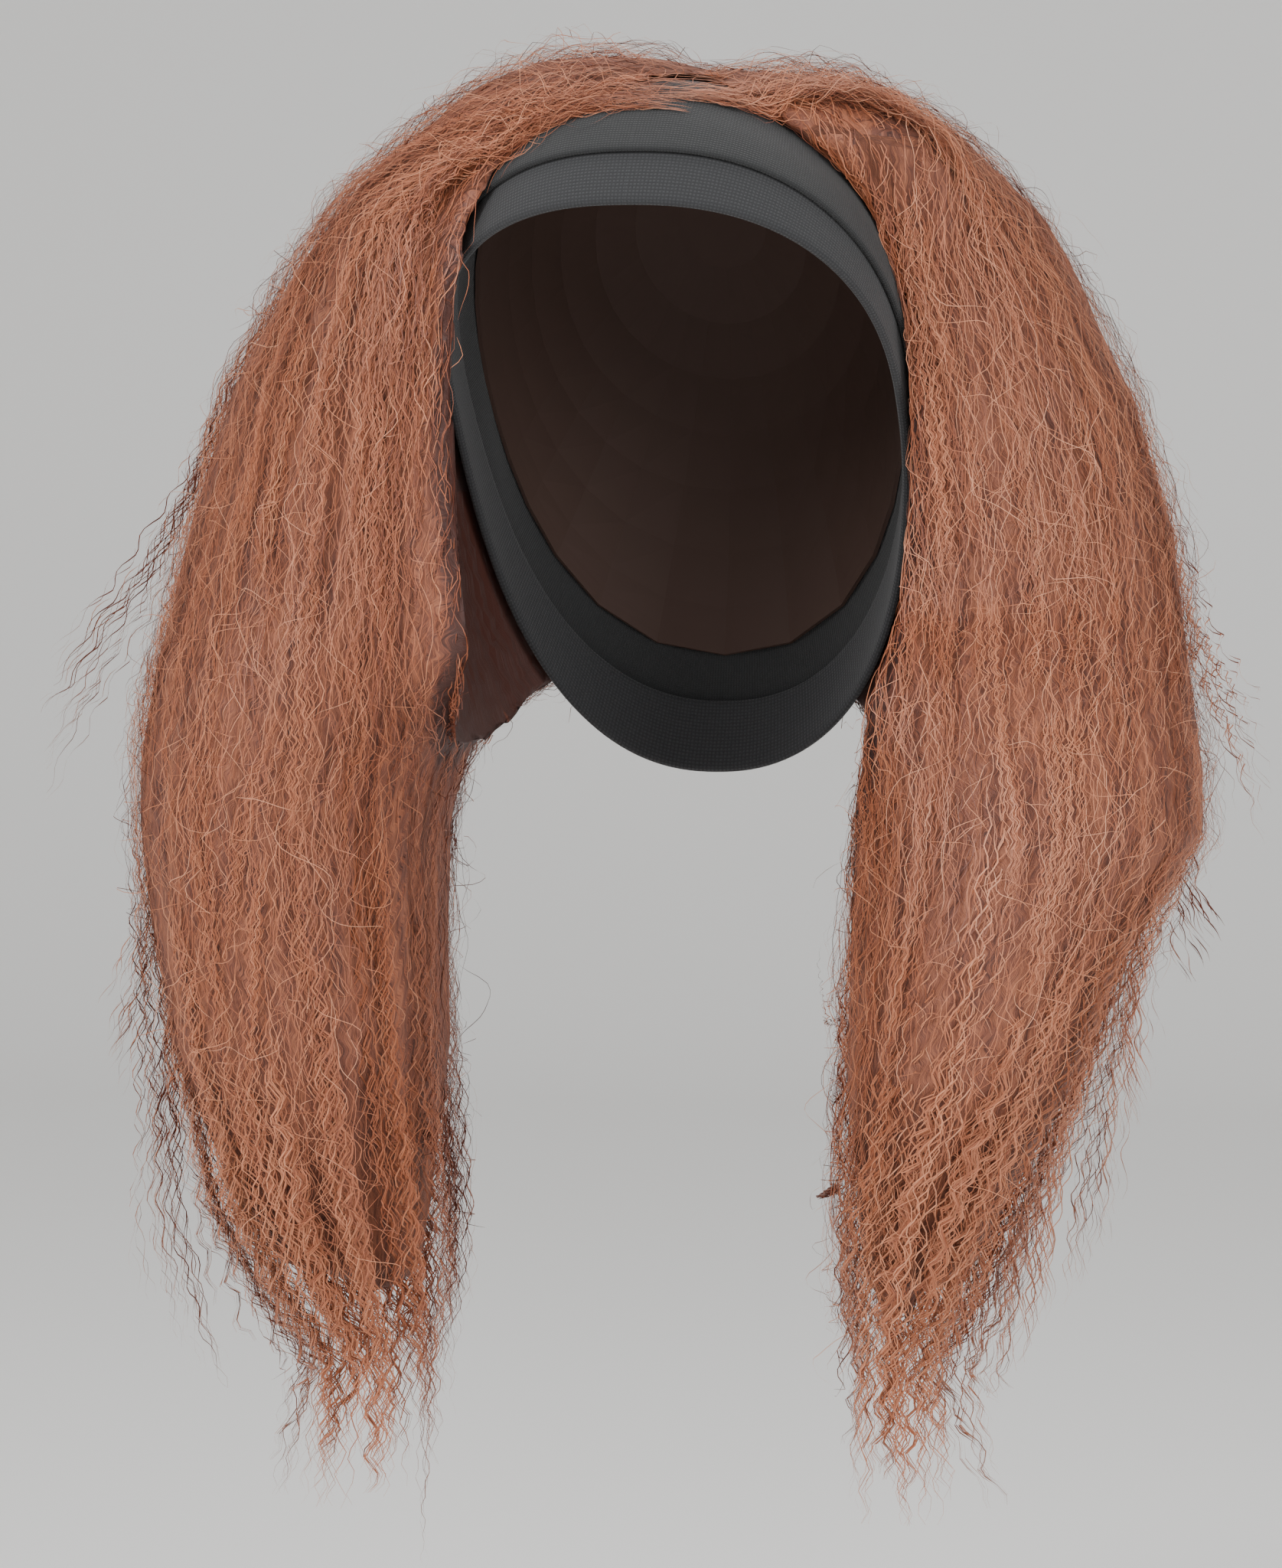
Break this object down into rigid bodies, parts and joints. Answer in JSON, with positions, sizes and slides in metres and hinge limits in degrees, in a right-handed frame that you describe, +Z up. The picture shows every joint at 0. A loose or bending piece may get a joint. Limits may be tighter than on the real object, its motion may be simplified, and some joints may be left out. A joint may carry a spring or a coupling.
{
  "type": "headband wig",
  "caption": "Long kinky copper wig of sewn wefts on a net cap, with a wide knit headband that hides its front edge and two falls of hair beside the face.",
  "frame": {"origin": "inside of the cap at the top of the head, where the wig rests on its wearer", "axes": "+Z up along the head, the face looks along -Y, +X is the wearer's left"},
  "size_m": [0.4025, 0.2192, 0.4998],
  "materials": {
    "knit_band": "charcoal fine knit, matt",
    "knit_hem": "charcoal ribbed knit hem, matt",
    "net_cap": "brown net with rows of weft",
    "hair": "copper crimped fibre, soft sheen"
  },
  "bodies": {
    "root": {"headband": "knit_band", "headband_front_hem": "knit_hem", "wig_cap": "net_cap", "hair_crown_left": "hair", "hair_crown_right": "hair", "hair_fall_left": "hair", "hair_fall_right": "hair"}
  },
  "joints": []
}
